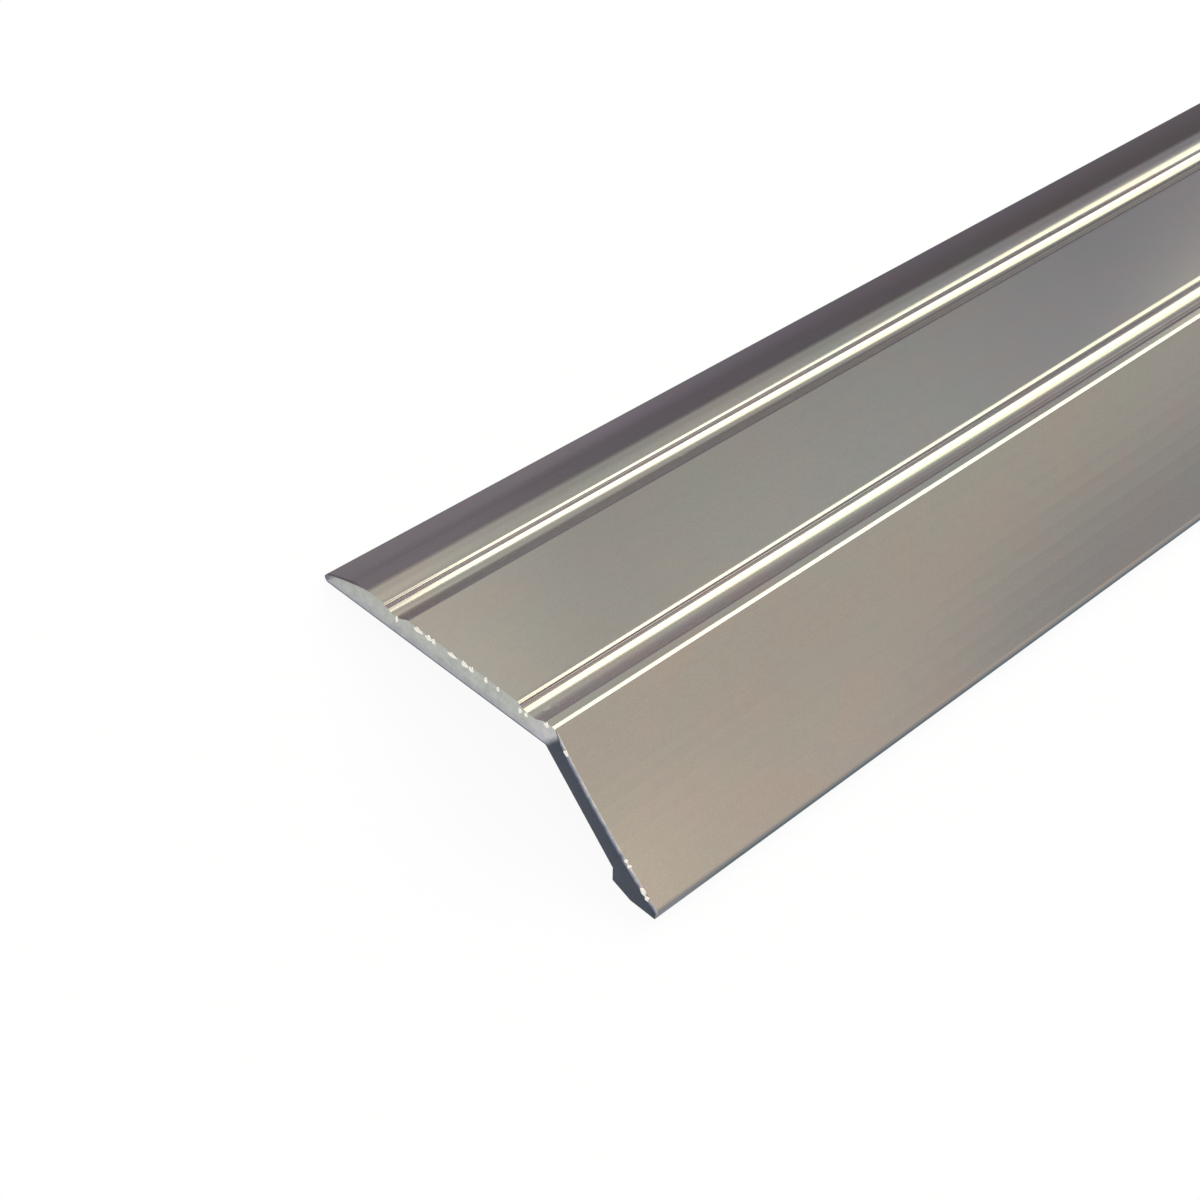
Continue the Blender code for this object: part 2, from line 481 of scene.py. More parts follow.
@dataclass
class Section:
    """The strip's section with the fine edges that the die leaves, in plate millimetres."""

    outline: list[Point]
    plate_top: float = 2.5
    corner_turn: float = 30.0
    crease_turn: float = 8.0
    soft_turn: float = 15.0
    wall_turn: float = 60.0
    straight: float = 0.25
    long_side: float = 1.0
    groove_reach: float = 1.0
    level_slack: float = 0.001
    put_margin: float = 0.02
    grooves: tuple[GrooveShape, ...] = (
        GrooveShape(lip=((4.5, 9.0), (8.5, 5.2), (11.0, 2.5), (43.0, 0.41), (80.0, 0.06)),
                    ledge_width=0.24, cove=((20.0, 0.03), (11.0, 3.1)), rise=((-25.0, 1.8),)),
        GrooveShape(lip=((4.5, 2.8), (8.5, 1.7), (11.0, 1.4), (43.0, 0.41), (80.0, 0.06)),
                    ledge_width=0.32, cove=((18.0, 0.03), (11.0, 3.1)),
                    rise=((-10.0, 1.8), (-25.0, 2.6))),
    )
    ledge_height: float = 2.23
    ledge_slope: float = -2.5
    ledge_crease: float = 0.03
    ledge_drop: Bends = ((80.0, 0.02),)
    cove_wall: float = 0.05
    floor_end: float = 4.0
    floor_trials: Point = (0.1, 0.5)
    rise_end_radius: float = 0.7
    roll_off: Bends = ((8.0, 0.5), (16.0, 2.4))
    corner_radius: float = 0.06
    toe_radius: float = 0.55
    crease_radius: float = 3.0
    plain_edge_radius: float = 0.12
    edge_share: float = 0.45
    arc_step: float = 9.0
    support: float = 0.05
    support_turn: float = 0.8
    flat_length: float = 0.5

    def turn(self, index: int) -> float:
        """Return the outline's turn at a point, positive where it is convex.

        Args:
            index: The point's place in the outline.

        Returns:
            The turn in degrees.
        """
        before, here, after = self._around(index)
        first = here - before
        second = after - here
        return math.degrees(math.atan2(first.x * second.y - first.y * second.x, first.dot(second)))

    def _around(self, index: int) -> tuple[Vector, Vector, Vector]:
        """Return the points before, at and after an index."""
        after = (index + 1) % len(self.outline)
        return tuple(Vector(self.outline[place]) for place in (index - 1, index, after))

    def is_corner(self, index: int) -> bool:
        """Say whether a point is a corner and not one step of an arc.

        Args:
            index: The point's place in the outline.

        Returns:
            True where the outline has a corner.
        """
        before, here, after = self._around(index)
        turn = abs(self.turn(index))
        long_sides = min((here - before).length, (after - here).length) > self.straight
        return turn > self.corner_turn or (turn > self.crease_turn and long_sides)

    def edge_radius(self, index: int) -> float:
        """Return the radius that the die leaves at a corner."""
        soft = abs(self.turn(index)) < self.soft_turn
        return self.crease_radius if soft else self.plain_edge_radius

    def walls(self) -> list[float]:
        """Return where each groove's wall stands on its ledge, measured across the plate."""
        return [across for k, (across, up) in enumerate(self.outline)
                if up > self.plate_top / 2 and self.turn(k) < -self.wall_turn]

    def on_top(self, start: float) -> list[Point]:
        """Return the points of the plate's flat top that lie past a place, nearest first."""
        return sorted(point for point in self.outline
                      if abs(point[1] - self.plate_top) < self.level_slack and point[0] > start)

    def put(self, stretch: list[Point]) -> None:
        """Put a drawn stretch in place of the outline's own points.

        Args:
            stretch: The stretch's points, from the nose side.
        """
        start, end = stretch[0], stretch[-1]
        inside = [k for k, point in enumerate(self.outline)
                  if start[0] < point[0] < end[0] + self.put_margin and point[1] > self.plate_top / 2]
        self.outline[min(inside):max(inside) + 1] = list(reversed(stretch))

    def groove(self, shape: GrooveShape, wall: float, end: float) -> list[Point]:
        """Draw one groove from the nose side to the flange side.

        Args:
            shape: The groove's fine shape.
            wall: Where the groove's wall stands across the plate.
            end: Where the plate's top starts again.

        Returns:
            The groove's points.
        """
        ends = [self.groove_stretch(shape, floor)[-1][0] for floor in self.floor_trials]
        short, long = self.floor_trials
        floor = short + (end - wall - ends[0]) * (long - short) / (ends[1] - ends[0])
        return [(wall + across, up) for across, up in self.groove_stretch(shape, floor)]

    def groove_stretch(self, shape: GrooveShape, floor: float) -> list[Point]:
        """Draw a groove with its wall at 0.

        Args:
            shape: The groove's fine shape.
            floor: The width of the cove's nearly level floor.

        Returns:
            The groove's points.
        """
        pen = Pen(0.0, self.plate_top)
        pen.arcs(shape.lip)
        pen.straight(pen.points[-1][1] - self.ledge_height)
        pen.arc(self.ledge_slope, self.ledge_crease)
        wall = pen.points[-1][0]
        pen.straight(shape.ledge_width)
        pen.arcs(self.ledge_drop)
        pen.straight(self.cove_wall)
        pen.arcs(shape.cove)
        bend = math.sin(math.radians(pen.slope)) - math.sin(math.radians(self.floor_end))
        pen.arc(self.floor_end, floor / bend)
        pen.arcs(shape.rise)
        slope = math.radians(-pen.slope)
        rounding = self.rise_end_radius * (1.0 - math.cos(slope))
        pen.straight((self.plate_top - rounding - pen.points[-1][1]) / math.sin(slope))
        pen.arc(0.0, self.rise_end_radius)
        return [(across - wall, up) for across, up in pen.points]

    def corner(self) -> list[Point]:
        """Draw the plate's gentle roll off and its corner, down onto the ramp's face.

        Returns:
            The corner's points, from the nose side.
        """
        start = self.on_top(0.0)[-1][0]
        sides = [pair for pair in zip(self.outline, self.outline[1:])
                 if pair[1][0] > start and math.dist(*pair) > self.long_side]
        lower, upper = max(sides, key=lambda pair: pair[1][1])
        slope = math.atan2(upper[1] - lower[1], lower[0] - upper[0])
        pen = Pen(0.0, self.plate_top)
        pen.arcs(self.roll_off)
        pen.arc(math.degrees(slope), self.corner_radius)
        across, up = pen.points[-1]
        shift = upper[0] + (upper[1] - up) / math.tan(slope) - across
        return [(point[0] + shift, point[1]) for point in pen.points]

    def rounding(self, before: Vector, here: Vector, after: Vector, radius: float) -> list[Vector]:
        """Draw the arc that takes a corner's place.

        Args:
            before: A point on the side that comes to the corner.
            here: The corner.
            after: A point on the side that leaves it.
            radius: The arc's radius.

        Returns:
            The arc's points, from the first side to the second.
        """
        into = (here - before).normalized()
        out = (after - here).normalized()
        turn = math.atan2(into.x * out.y - into.y * out.x, into.dot(out))
        start = here - into * (radius * math.tan(abs(turn) / 2))
        arm = Vector((into.y, -into.x)) * math.copysign(radius, turn)
        steps = max(2, math.ceil(math.degrees(abs(turn)) / self.arc_step))
        turns = [Matrix.Rotation(turn * step / steps, 2) for step in range(steps + 1)]
        return [start - arm + part @ arm for part in turns]

    def roll_toe(self) -> None:
        """Roll the ramp's lower end over its toe."""
        sides = list(zip(self.outline, self.outline[1:]))
        long_sides = [k for k, side in enumerate(sides) if math.dist(*side) > self.long_side]
        ramp = max(long_sides, key=lambda k: sides[k][0][0])
        land = max(k for k in range(ramp) if math.dist(*sides[k]) > 2 * self.straight)
        first, second = (Vector(point) for point in sides[land])
        third, fourth = (Vector(point) for point in sides[ramp])
        tip = intersect_line_line_2d(first, second * 2 - first, third * 2 - fourth, fourth)
        arc = self.rounding(first, tip, fourth, self.toe_radius)
        self.outline[land + 1:ramp + 1] = [tuple(point) for point in arc]

    def shape(self) -> None:
        """Give the grooves, the corner and the toe the fine shape that the die leaves."""
        lowest = min(range(len(self.outline)), key=lambda k: self.outline[k][1])
        self.outline = self.outline[lowest:] + self.outline[:lowest]
        for shape, wall in zip(self.grooves, sorted(self.walls())):
            self.put(self.groove(shape, wall, self.on_top(wall + self.groove_reach)[0][0]))
        self.put(self.corner())
        self.roll_toe()

    def eased(self) -> list[Point]:
        """Round the corners and put supports beside them.

        Returns:
            The finished outline.
        """
        self.shape()
        points: list[Vector] = []
        for index in range(len(self.outline)):
            before, here, after = self._around(index)
            if not self.is_corner(index):
                points.append(here)
                continue
            room = self.edge_share * min((here - before).length, (after - here).length)
            half_turn = math.tan(math.radians(abs(self.turn(index))) / 2)
            radius = min(self.edge_radius(index), room / half_turn)
            points.extend(self.rounding(before, here, after, radius))
        return self._supported(points)

    def _supported(self, points: list[Vector]) -> list[Point]:
        """Put a support point beside each rounding, on the flat that runs into it.

        Args:
            points: The rounded outline, which becomes the section's own.

        Returns:
            The outline with its supports.
        """
        self.outline = [tuple(p) for p in points]
        result: list[Point] = []
        count = len(points)
        for index in range(count):
            here = points[index]
            after = points[(index + 1) % count]
            result.append(tuple(here))
            if (after - here).length < self.flat_length:
                continue
            run = (after - here).normalized()
            if abs(self.turn(index)) > self.support_turn:
                result.append(tuple(here + run * self.support))
            if abs(self.turn((index + 1) % count)) > self.support_turn:
                result.append(tuple(after - run * self.support))
        return result


@dataclass(frozen=True)
class Nick:
    """One small dent in the strip's surface, in plate millimetres."""

    along: float
    across: float
    up: float
    reach: float
    length: float
    depth: float


@dataclass
class StripBody:
    """The extrusion itself, as one fine mesh in the frame's place.

    The flange's outer edge is filed beside the cut. dressing_depth and dressing_width are the
    size of that filing, and the other dressing values say where it starts and how it eases.
    """

    axes: PlateAxes
    section: Section
    close_length: float = 165.0
    close_step: float = 1.5
    far_step: float = 35.0
    burr_room: float = 0.16
    dressing_depth: float = 0.12
    dressing_width: float = 0.55
    dressing_below_top: float = 0.4
    dressing_reach: float = 1.6
    dressing_ease: float = 1.2
    dressing_sole_ease: float = 1.4
    dressing_drop: float = 0.8
    dressing_least: float = 0.05
    sharp_angle: float = 32.0
    dent_direction: Point = (0.55, 0.83)
    nick_rings: tuple[float, ...] = (-1.0, -0.7, -0.45, -0.2, 0.0, 0.2, 0.45, 0.7, 1.0)
    nicks: tuple[Nick, ...] = (
        Nick(along=32.5, across=1.0, up=2.45, reach=0.18, length=0.22, depth=0.035),
        Nick(along=28.7, across=1.0, up=2.45, reach=0.16, length=0.20, depth=0.030),
        Nick(along=46.5, across=1.0, up=2.45, reach=0.16, length=0.26, depth=0.030),
        Nick(along=1.6, across=-1.3, up=2.0, reach=0.30, length=0.45, depth=0.06),
        Nick(along=2.5, across=-0.9, up=2.2, reach=0.25, length=0.30, depth=0.05),
        Nick(along=34.8, across=-18.6, up=1.9, reach=0.20, length=0.25, depth=0.04),
    )

    def stations(self) -> list[float]:
        """Return the places along the strip where the mesh has a ring.

        Returns:
            Millimetres from the near end, in order.
        """
        length = (self.axes.far - self.axes.near) / MM
        first = self.burr_room + self.dressing_depth
        places = {first, length - self.burr_room}
        step = self.close_step
        while step < self.close_length:
            places.add(step)
            step += self.close_step
        while step < length - self.far_step / 2:
            places.add(step)
            step += self.far_step
        for nick in self.nicks:
            for part in self.nick_rings:
                places.add(nick.along + part * nick.length)
        return sorted(p for p in places if p >= first)

    def dressed(self, point: Point) -> Point:
        """Move a point of the cut ring inward where the flange's outer edge was filed.

        Args:
            point: The point across and up.

        Returns:
            The moved point.
        """
        across, up = point
        outer = across - (self.section.plate_top - up)
        start = self.section.plate_top - self.dressing_below_top
        if up > start or outer < -self.dressing_reach:
            return point
        sole = min(up for _, up in self.section.outline)
        ease = min(1.0, (start - up) / self.dressing_ease, (up - sole) / self.dressing_sole_ease)
        shift = self.dressing_width * ease / math.sqrt(2)
        return across - shift, max(sole, up - shift * self.dressing_drop)

    def dented(self, along: float, point: Point) -> Point:
        """Move a point of the surface where a nick lies.

        Args:
            along: Millimetres from the near end.
            point: The point across and up.

        Returns:
            The moved point.
        """
        across, up = point
        for nick in self.nicks:
            beside = math.hypot(across - nick.across, up - nick.up) / nick.reach
            before = abs(along - nick.along) / nick.length
            if beside < 1.0 and before < 1.0:
                amount = nick.depth * (1.0 - beside ** 2) * (1.0 - before ** 2)
                across -= amount * self.dent_direction[0]
                up -= amount * self.dent_direction[1]
        return across, up

    def cap(self, mesh: bmesh.types.BMesh, ring: list[bmesh.types.BMVert],
            outline: list[Point]) -> None:
        """Close an end with sawn faces.

        Args:
            mesh: The strip's mesh.
            ring: The end's vertices in order.
            outline: The same points in the plate's millimetres.
        """
        corners = [Vector((across, up, 0.0)) for across, up in outline]
        for triangle in tessellate_polygon([corners]):
            face = mesh.faces.new([ring[index] for index in triangle])
            face.material_index = Finish.SAWN.value

    def build(self) -> bpy.types.Object:
        """Make the mesh, close its ends and dress it.

        Returns:
            The finished object.
        """
        outline = self.section.eased()
        if signed_area(outline) < 0.0:
            outline.reverse()
        mesh = bmesh.new()
        filed = mesh.verts.layers.float.new(FILED_SHARE)
        cut = [self.dressed(p) for p in outline]
        rings = [[mesh.verts.new(self.axes.to_scene(self.burr_room, *p)) for p in cut]]
        for along in self.stations():
            ring = [self.dented(along, p) for p in outline]
            rings.append([mesh.verts.new(self.axes.to_scene(along, *p)) for p in ring])
        count = len(outline)
        for place, (first, second) in enumerate(zip(rings, rings[1:])):
            for index in range(count):
                after = (index + 1) % count
                side = mesh.faces.new((first[index], first[after], second[after], second[index]))
                side.smooth = True
                moved = first[index].co - second[index].co
                if place == 0 and math.hypot(moved.y, moved.z) > self.dressing_least * MM:
                    side.material_index = Finish.DRESSED.value
        self.cap(mesh, rings[0], cut)
        self.cap(mesh, rings[-1], outline)
        bmesh.ops.recalc_face_normals(mesh, faces=mesh.faces)
        for vert in mesh.verts:
            vert[filed] = 1.0
        for vert in rings[0]:
            vert[filed] = 0.0
        strip = new_object("strip_body", mesh)
        strip.data.set_sharp_from_angle(angle=math.radians(self.sharp_angle))
        return strip

    def dress(self, strip: bpy.types.Object, finishes: list["MetalFinish"]) -> None:
        """Give the strip its finishes and its place in the frame.

        Args:
            strip: The strip's object.
            finishes: The finishes in the order of their slots.
        """
        for finish in finishes:
            strip.data.materials.append(finish.material(self.axes))
        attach(strip, BODY)
        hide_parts(STRIP_NODE)


@dataclass
class CutBurrs:
    """Flecks of bright metal that the saw left along the top of the near end.

    A fleck is where its middle lies and how long it is: across the plate, or down the ramp
    from its corner.
    """

    axes: PlateAxes
    plate_top: float = 2.5
    groove_floor: float = 1.72
    in_grooves: tuple[Point, ...] = ((-20.0, -17.5), (-3.3, -1.5))
    ramp_start: float = 1.0
    ramp_slope: float = 45.0
    ramp_inset: float = 0.16
    seed: int = 11
    cut_place: float = 0.16
    thickness: float = 0.26
    sunk_share: float = 0.9
    reach_out: float = 0.10
    length_factor: float = 1.15
    lump_count: int = 4
    lump_place: float = 0.8
    lump_width: Point = (0.2, 0.45)
    lump_height: Point = (-0.25, 0.35)
    plate_flecks: tuple[Point, ...] = (
        (-18.75, 0.34), (-15.85, 1.05), (-14.55, 0.80), (-13.85, 0.45), (-11.45, 1.15),
        (-9.85, 0.75), (-9.05, 0.60), (-7.20, 0.40), (-5.70, 0.35), (-2.95, 0.35),
        (-2.30, 0.40), (0.15, 0.55),
    )
    flange_flecks: tuple[Point, ...] = (
        (2.3, 0.55), (12.25, 0.35), (12.75, 0.30), (15.1, 0.75), (15.75, 0.45),
    )

    def fleck(self, mesh: bmesh.types.BMesh, along_edge: Vector, centre: Vector, length: float,
              chance: random.Random) -> None:
        """Add one fleck, a lumpy bead drawn out along the edge.

        Args:
            mesh: The mesh that takes it.
            along_edge: The edge's direction in the scene.
            centre: Where the fleck sits.
            length: Its length in millimetres.
            chance: The seeded source of its lumps.
        """
        made = bmesh.ops.create_icosphere(mesh, subdivisions=3, radius=1.0)
        out = Vector((-1.0, 0.0, 0.0))
        third = along_edge.cross(out).normalized()
        lumps = [(chance.uniform(-self.lump_place, self.lump_place),
                  chance.uniform(*self.lump_width), chance.uniform(*self.lump_height))
                 for _ in range(self.lump_count)]
        for vert in made["verts"]:
            x, y, z = vert.co
            swell = 1.0 + sum(h * math.exp(-((x - p) / w) ** 2) for p, w, h in lumps)
            place = (centre + along_edge * (x * self.length_factor * length / 2 * MM)
                     + out * (y * self.reach_out * swell * MM)
                     + third * (z * self.thickness * swell * MM))
            place.x = max(place.x, CAD_BOX[0][0] + BOX_MARGIN)
            place.z = min(place.z, CAD_BOX[1][2] - BOX_MARGIN)
            vert.co = place
        for face in {f for v in made["verts"] for f in v.link_faces}:
            face.smooth = True

    def build(self) -> bpy.types.Object:
        """Make every fleck in one mesh.

        Returns:
            The flecks' object.
        """
        chance = random.Random(self.seed)
        mesh = bmesh.new()
        edge = (self.axes.to_scene(0, 1, 0) - self.axes.to_scene(0, 0, 0)).normalized()
        for across, length in self.plate_flecks:
            up = self.plate_top - self.thickness * self.sunk_share
            if any(start < across < end for start, end in self.in_grooves):
                up = self.groove_floor
            self.fleck(mesh, edge, self.axes.to_scene(self.cut_place, across, up), length, chance)
        slope = math.radians(self.ramp_slope)
        down = (self.axes.to_scene(0, math.cos(slope), -math.sin(slope))
                - self.axes.to_scene(0, 0, 0)).normalized()
        for distance, length in self.flange_flecks:
            across = self.ramp_start + distance * math.cos(slope) - self.ramp_inset
            up = self.plate_top - distance * math.sin(slope) - self.ramp_inset
            self.fleck(mesh, down, self.axes.to_scene(self.cut_place, across, up), length, chance)
        return new_object("cut_burrs", mesh)

    def dress(self, burrs: bpy.types.Object, finish: "MetalFinish") -> None:
        """Give the flecks their bright finish and their place on the strip.

        Args:
            burrs: The flecks' object.
            finish: The torn metal's finish.
        """
        burrs.data.materials.append(finish.material(self.axes))
        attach(burrs, BODY)


@dataclass(frozen=True)
class MetalFinish:
    """One finish of the aluminium, made of nodes read in the plate's own millimetres."""

    name: str
    colour: Colour
    roughness: float
    metallic: float = 1.0
    noise_roughness: float = 0.6
    spot_scale: float = 6.0
    spot_shade: float = 0.85
    spot_span: Point = (0.3, 0.7)

    def material(self, axes: PlateAxes) -> bpy.types.Material:
        """Make the finish's material.

        Args:
            axes: The plate's axes, which its texture follows.

        Returns:
            The material.
        """
        material, nodes = new_material(self.name)
        shader = nodes.add("BsdfPrincipled", Metallic=self.metallic)
        nodes.show(shader.outputs[0])
        self.dress_surface(nodes, self.plate_place(nodes, axes), shader)
        return material

    def plate_place(self, nodes: Nodes, axes: PlateAxes) -> Socket:
        """Lay out the nodes that turn an object's place into the plate's.

        Args:
            nodes: The material's nodes.
            axes: The plate's axes.

        Returns:
            The place in plate millimetres: along, across, up.
        """
        shifted = nodes.add("VectorMath", operation="SUBTRACT")
        shifted.inputs[1].default_value = axes.to_scene(0.0, 0.0, 0.0)
        nodes.feed(shifted.inputs[0], nodes.add("TexCoord").outputs["Object"])
        joined = nodes.add("CombineXYZ")
        across = Vector((0.0, axes.across.x, axes.across.y))
        up = Vector((0.0, axes.up.x, axes.up.y))
        for slot, direction in enumerate((Vector((1.0, 0.0, 0.0)), across, up)):
            dot = nodes.add("VectorMath", operation="DOT_PRODUCT")
            dot.inputs[1].default_value = direction / MM
            nodes.feed(dot.inputs[0], shifted.outputs["Vector"])
            nodes.feed(joined.inputs[slot], dot.outputs["Value"])
        return joined.outputs["Vector"]

    def bump(self, nodes: Nodes, height: Socket, depth: float, shader: bpy.types.Node) -> None:
        """Drive the shader's normal by a height.

        Args:
            nodes: The material's nodes.
            height: The height, from 0 to 1.
            depth: The relief's depth in millimetres.
            shader: The shader to drive.
        """
        node = nodes.add("Bump", Strength=1.0, Distance=depth * MM)
        nodes.feed(node.inputs["Height"], height)
        nodes.feed(shader.inputs["Normal"], node.outputs["Normal"])

    def dress_surface(self, nodes: Nodes, place: Socket, shader: bpy.types.Node) -> None:
        """Drive the shader's colour, roughness and relief.

        Args:
            nodes: The material's nodes.
            place: The place in plate millimetres.
            shader: The shader to drive.
        """
        spots = nodes.noise(place, self.spot_scale)
        dark = shaded(self.colour, self.spot_shade)
        colour = nodes.between(spots, self.spot_span, dark, self.colour)
        nodes.feed(shader.inputs["Base Color"], colour)
        shader.inputs["Roughness"].default_value = self.roughness


@dataclass(frozen=True)
class GrooveShade:
    """How one groove's closing slope gets its painted reflection tint and its dulling, from its wall on,
    in plate millimetres.

    tint_start and dull_start are windows: where the painted tint and the dulling begin and are full.
    """

    tint: Colour
    tint_start: Point
    dull_start: Point


@dataclass(frozen=True)
class SatinFinish(MetalFinish):
    """The clear anodised skin: a fine satin grain, faint die lines and soft blotches, with painted shade
    on the ledges and the cut's top edge, and painted reflection on the groove slopes.
    """

    warm: Colour = (1.035, 0.990, 0.975)
    cool: Colour = (0.975, 1.010, 0.990)
    blotch_size: float = 5.5
    blotch_stretch: Triple = (0.7, 1.0, 1.0)
    blotch_stops: Triple = (0.34, 0.50, 0.66)
    die_line_width: float = 0.5
    die_line_stretch: Triple = (0.012, 1.0, 1.0)
    die_line_tint: Colour = (0.985, 0.985, 0.99)
    die_line_window: Point = (0.48, 0.70)
    mottle_size: float = 0.9
    mottle_stretch: Triple = (0.8, 1.0, 1.0)
    mottle_tint: Colour = (0.985, 0.98, 0.988)
    mottle_window: Point = (0.45, 0.66)
    mottle_roughness: float = 0.02
    grain_size: float = 0.14
    grain_depth: float = 0.045
    grain_span: Point = (0.34, 0.66)
    relief: float = 0.0005
    line_relief: float = 0.5
    grain_relief: float = 0.2
    ledge: float = 2.2
    # painted shade: the grooves' ledges are darkened beside their walls
    ledge_shade_tint: Colour = (0.80, 0.76, 0.90)
    ledge_height_rise: Point = (-0.10, -0.04)
    ledge_height_fall: Point = (0.10, 0.05)
    ledge_rise: Point = (-0.10, -0.04)
    ledge_fall: Point = (0.36, 0.28)
    # painted reflection tints on the grooves' closing slopes: cooler in the first groove, lighter in the
    # second
    slopes: tuple[GrooveShade, ...] = (
        GrooveShade(tint=(0.96, 0.97, 1.09), tint_start=(1.75, 2.30), dull_start=(1.20, 1.95)),
        GrooveShade(tint=(1.30, 1.27, 1.38), tint_start=(1.25, 1.95), dull_start=(0.95, 1.80)),
    )
    slope_end: Point = (3.15, 2.75)
    slope_roughness: float = 0.20
    streaks: Point = (2.02, 2.60)
    streak_reach: float = 0.24
    # die lines painted with a highlight that fades in along the strip
    streak_highlight_tint: Colour = (1.70, 1.67, 1.70)
    streak_along: Point = (30.0, 95.0)
    # painted shadow: a dark line along the top of the cut, on the bevel
    cut_shadow_tint: Colour = (0.60, 0.58, 0.60)
    cut_shadow_along: Point = (0.52, 0.38)
    cut_shadow_across: Point = (-23.4, -25.4)
    walls: tuple[float, ...] = ()

    def ledge_shade(self, nodes: Nodes, across: Socket, up: Socket) -> Socket:
        """Find the grooves' ledges, which get a painted shade.

        Args:
            nodes: The material's nodes.
            across: The place across the plate.
            up: The place above its underside.

        Returns:
            How much a place lies on a ledge, from 0 to 1.
        """
        def past(start: float, window: Point) -> Point:
            """Return a window moved to its start."""
            return start + window[0], start + window[1]

        height = nodes.band(up, past(self.ledge, self.ledge_height_fall),
                            past(self.ledge, self.ledge_height_rise))
        bands = [nodes.band(across, past(wall, self.ledge_rise), past(wall, self.ledge_fall))
                 for wall in self.walls]
        return nodes.math("MULTIPLY", height, nodes.math("ADD", *bands))

    def slope_shade(self, nodes: Nodes, across: Socket, wall: float, start: Point) -> Socket:
        """Return how much a place lies on the slope past a groove's wall, from 0 to 1."""
        return nodes.band(across, (wall + start[0], wall + start[1]),
                          (wall + self.slope_end[0], wall + self.slope_end[1]))

    def streak_shade(self, nodes: Nodes, along: Socket, across: Socket, wall: float) -> Socket:
        """Find the fine die lines on a groove's closing slope, which carry a painted highlight that
        grows along the strip.

        Args:
            nodes: The material's nodes.
            along: The place along the strip.
            across: The place across the plate.
            wall: Where the groove's wall stands.

        Returns:
            How much a place lies on a line, from 0 to 1.
        """
        lines = []
        for line in self.streaks:
            beside = nodes.math("ABSOLUTE", nodes.math("SUBTRACT", across, wall + line))
            lines.append(nodes.window(beside, self.streak_reach, 0.0))
        return nodes.math("MULTIPLY", nodes.math("ADD", *lines),
                          nodes.window(along, *self.streak_along))

    def dress_surface(self, nodes: Nodes, place: Socket, shader: bpy.types.Node) -> None:
        """Drive the shader's colour, roughness and relief.

        Args:
            nodes: The material's nodes.
            place: The place in plate millimetres.
            shader: The shader to drive.
        """
        rough_noise = self.noise_roughness
        fine = nodes.noise(place, 1.0 / self.grain_size, 2.0, rough_noise)
        lines = nodes.noise(place, 1.0 / self.die_line_width, 4.0, stretch=self.die_line_stretch)
        blotch = nodes.noise(place, 1.0 / self.blotch_size, 2.0, stretch=self.blotch_stretch)
        mottle = nodes.noise(place, 1.0 / self.mottle_size, 3.0, rough_noise, self.mottle_stretch)
        dark = shaded(self.colour, 1.0 - self.grain_depth)
        light = shaded(self.colour, 1.0 + self.grain_depth)
        plain = (1.0, 1.0, 1.0)
        shades = nodes.ramp(blotch, tuple(zip(self.blotch_stops, (self.cool, plain, self.warm))), True)
        colour = nodes.blend("MULTIPLY", nodes.between(fine, self.grain_span, dark, light), shades)
        colour = nodes.tint(colour, self.die_line_tint, nodes.window(lines, *self.die_line_window))
        colour = nodes.tint(colour, self.mottle_tint, nodes.window(mottle, *self.mottle_window))

        along, across, up = nodes.split(place)
        # painted shade on the grooves' ledges
        colour = nodes.tint(colour, self.ledge_shade_tint, self.ledge_shade(nodes, across, up))
        # painted shadow along the top of the cut, on the bevel
        cut_shadow = nodes.math("MULTIPLY", nodes.window(along, *self.cut_shadow_along),
                              nodes.window(across, *self.cut_shadow_across))
        colour = nodes.tint(colour, self.cut_shadow_tint, cut_shadow)
        rough = nodes.math("MULTIPLY_ADD", mottle, self.mottle_roughness,
                           self.roughness - self.mottle_roughness / 2)
        for wall, slope in zip(sorted(self.walls), self.slopes):
            shade = self.slope_shade(nodes, across, wall, slope.tint_start)
            # painted reflection tint on the groove's closing slope
            colour = nodes.tint(colour, slope.tint, shade)
            # painted highlight on the die lines of the closing slope
            colour = nodes.tint(colour, self.streak_highlight_tint,
                                self.streak_shade(nodes, along, across, wall))
            dull = self.slope_shade(nodes, across, wall, slope.dull_start)
            rough = nodes.math("MULTIPLY_ADD", dull, self.slope_roughness, rough)
        nodes.feed(shader.inputs["Base Color"], colour)
        nodes.feed(shader.inputs["Roughness"], rough)
        height = nodes.math("MULTIPLY_ADD", lines, self.line_relief,
                            nodes.math("MULTIPLY", fine, self.grain_relief))
        self.bump(nodes, height, self.relief, shader)


